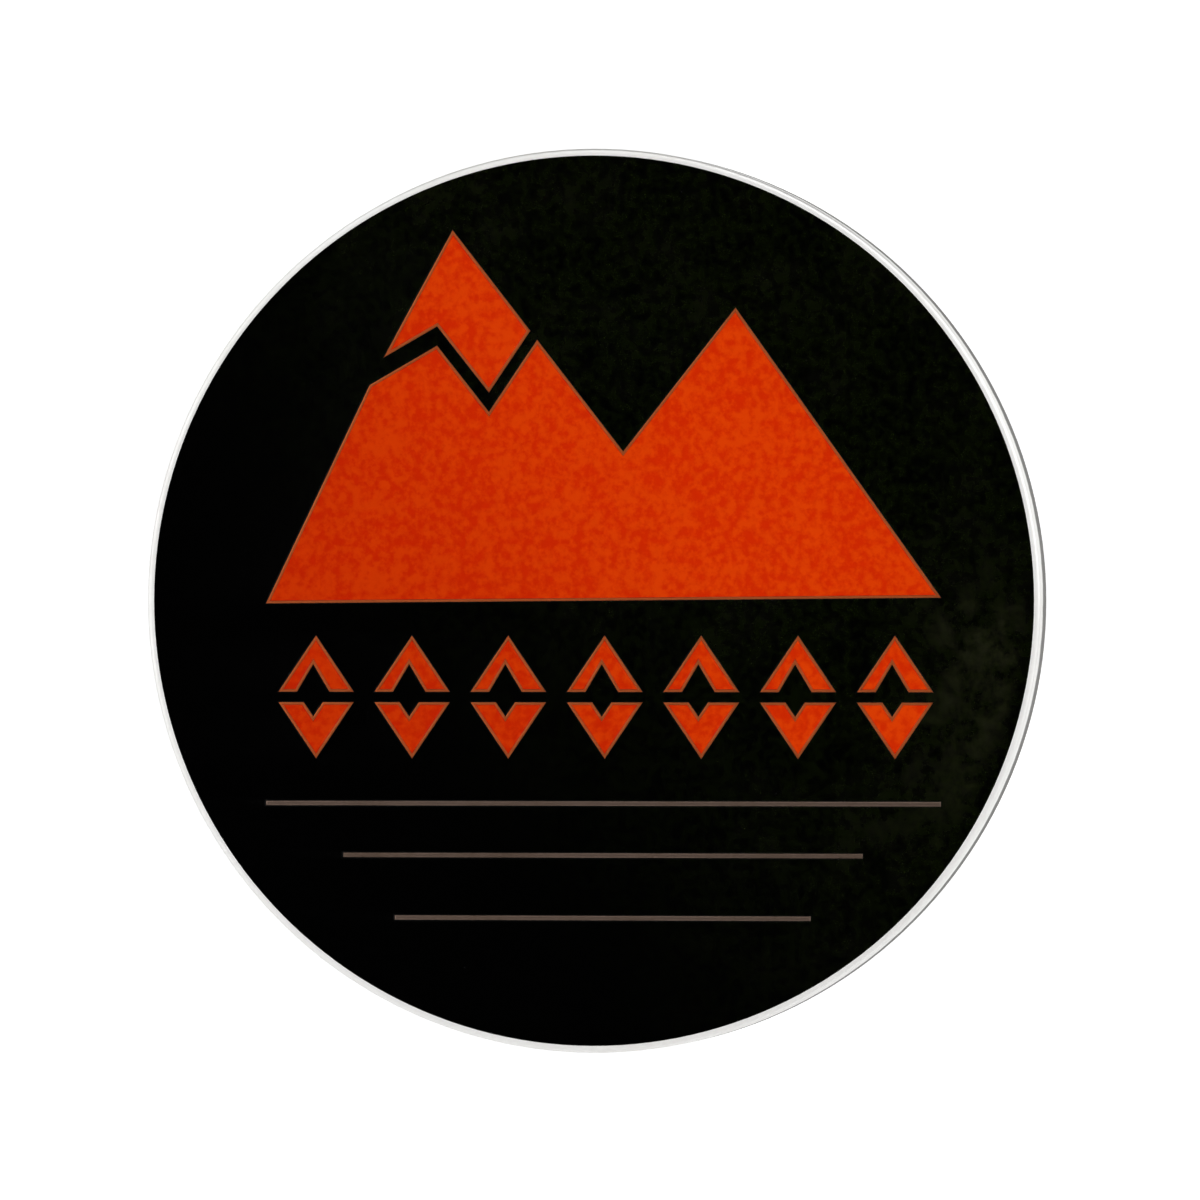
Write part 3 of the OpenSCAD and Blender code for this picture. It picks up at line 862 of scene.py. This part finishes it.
# %% [markdown]
# ## Studio
#
# A glossy black face shows whatever stands in front of it, and a white rim shows whatever stands beside
# and behind the pin. So the studio is a round pale bowl that glows a little more behind the pin, and a
# dark card hangs in front of the face. In a studio such a card is called a flag. It shows in reflections
# only, so that a view from behind has a pale backdrop too. Soft lamps stand well to the sides, where the
# face doesn't mirror them.

# %% Bowl-shaped backdrop
BOWL_R, BOWL_BEND, BOWL_H, BOWL_FLOOR = 1100.0, 450.0, 1500.0, -100.0
FLAT_R = 300.0                  # a ring of points on the flat floor
bend = np.linspace(0, np.pi / 2, 17)
bowl_r = np.concatenate([[0.0, FLAT_R], BOWL_R - BOWL_BEND + BOWL_BEND * np.sin(bend), [BOWL_R]])
bowl_z = np.concatenate([[0.0, 0.0], BOWL_BEND - BOWL_BEND * np.cos(bend), [BOWL_H]]) + BOWL_FLOOR
bowl = turned(np.stack([bowl_r, bowl_z], axis=1), segments=96)[..., [0, 2, 1]]


def bowl_finish():
    """Matt pale paper with faint fibres. It glows softly, and more so towards the back."""
    finish = Finish("studio_paper", Roughness=0.9, Specular_IOR_Level=0.0, Emission_Strength=1.0)
    fibres = finish.noise(40.0) * 0.04
    finish.feed("Base Color", finish.mix(fibres, colour(0.82, 0.82, 0.82), colour(0.5, 0.5, 0.5)))
    glow = finish.step(finish.along("Y"), -250.0, 500.0)
    finish.feed("Emission Color", finish.mix(glow, colour(0.12, 0.12, 0.12), colour(0.5, 0.5, 0.5)))
    return finish.material


def stage_piece(name, grid, finish):
    """Studio furniture from a grid of points in millimetres."""
    mesh = bpy.data.meshes.new(name)
    mesh.from_pydata((grid.reshape(-1, 3) * MM).tolist(), [], grid_faces(grid).tolist())
    mesh.shade_smooth()
    mesh.materials.append(finish)
    piece = bpy.data.objects.new(name, mesh)
    bpy.context.scene.collection.objects.link(piece)
    return piece


stage_piece("studio_bowl", bowl, bowl_finish())

# %% Dark card
CARD_Y, CARD_SOLID_R, CARD_R = -350.0, 100.0, 185.0
card = turned([[0.0, CARD_Y], [CARD_SOLID_R, CARD_Y], [CARD_R, CARD_Y]], segments=64)


def card_finish():
    """Black velvet that thins out from the solid middle to the edge."""
    finish = Finish("flag_velvet", Base_Color=colour(0.015, 0.015, 0.014), Roughness=0.9,
                    Specular_IOR_Level=0.0, Emission_Color=colour(0.004, 0.004, 0.003),
                    Emission_Strength=1.0)
    x, z = finish.along("X"), finish.along("Z")
    finish.feed("Alpha", finish.step((x * x + z * z).root(), CARD_R, CARD_SOLID_R))
    return finish.material


flag = stage_piece("dark_flag", card, card_finish())
flag.visible_camera = False


# %% Lamps
def aimed(place, target=(0.0, 0.0, 0.0)):
    """The turn that points an object's -Z from its place to a target."""
    return (Vector(target) - Vector(place)).to_track_quat("-Z", "Y").to_euler()


def soft_lamp(name, place, size, power):
    """A square softbox that looks at the pin. Its place and size are in metres, its power in watts."""
    light = bpy.data.lights.new(name, "AREA")
    light.size = size
    light.energy = power
    lamp = bpy.data.objects.new(name, light)
    lamp.location = place
    lamp.rotation_euler = aimed(place)
    bpy.context.scene.collection.objects.link(lamp)


soft_lamp("key_right", (0.40, -0.55, 0.24), 0.30, 1.3)
soft_lamp("fill_left", (-0.42, -0.52, 0.10), 0.35, 0.75)
soft_lamp("top", (0.05, -0.42, 0.52), 0.30, 0.6)
soft_lamp("back_left", (-0.35, 0.50, 0.40), 0.30, 0.6)

world = bpy.data.worlds.new("dim_room")
world.use_nodes = True
world.node_tree.nodes["Background"].inputs["Color"].default_value = colour(0.10, 0.10, 0.10)
scene = bpy.context.scene
scene.world = world
scene.view_settings.view_transform = "Standard"

# %% [markdown]
# ## Camera
#
# The pin is seen almost straight on by a long lens from a little to its right, which keeps the disc
# round and lets a sliver of the right side wall show.

# %% Long lens
AZIMUTH, ELEVATION, DISTANCE = math.radians(8.75), 0.0, 0.62
SHARE_OF_FRAME = 0.7515         # the disc's width against the picture's
AIM = (0.03 * MM, 0.0, 0.03 * MM)
lens = bpy.data.cameras.new("long_lens")
frame_width = 2 * DISC_R * MM / SHARE_OF_FRAME
lens.lens = lens.sensor_width * DISTANCE / frame_width
camera = bpy.data.objects.new("camera", lens)
camera.location = DISTANCE * Vector((math.sin(AZIMUTH) * math.cos(ELEVATION),
                                     -math.cos(AZIMUTH) * math.cos(ELEVATION), math.sin(ELEVATION)))
camera.rotation_euler = aimed(camera.location, AIM)
scene.collection.objects.link(camera)
scene.camera = camera
print(f"lens {lens.lens:.0f} mm, picture {frame_width / MM:.1f} mm wide at the pin")
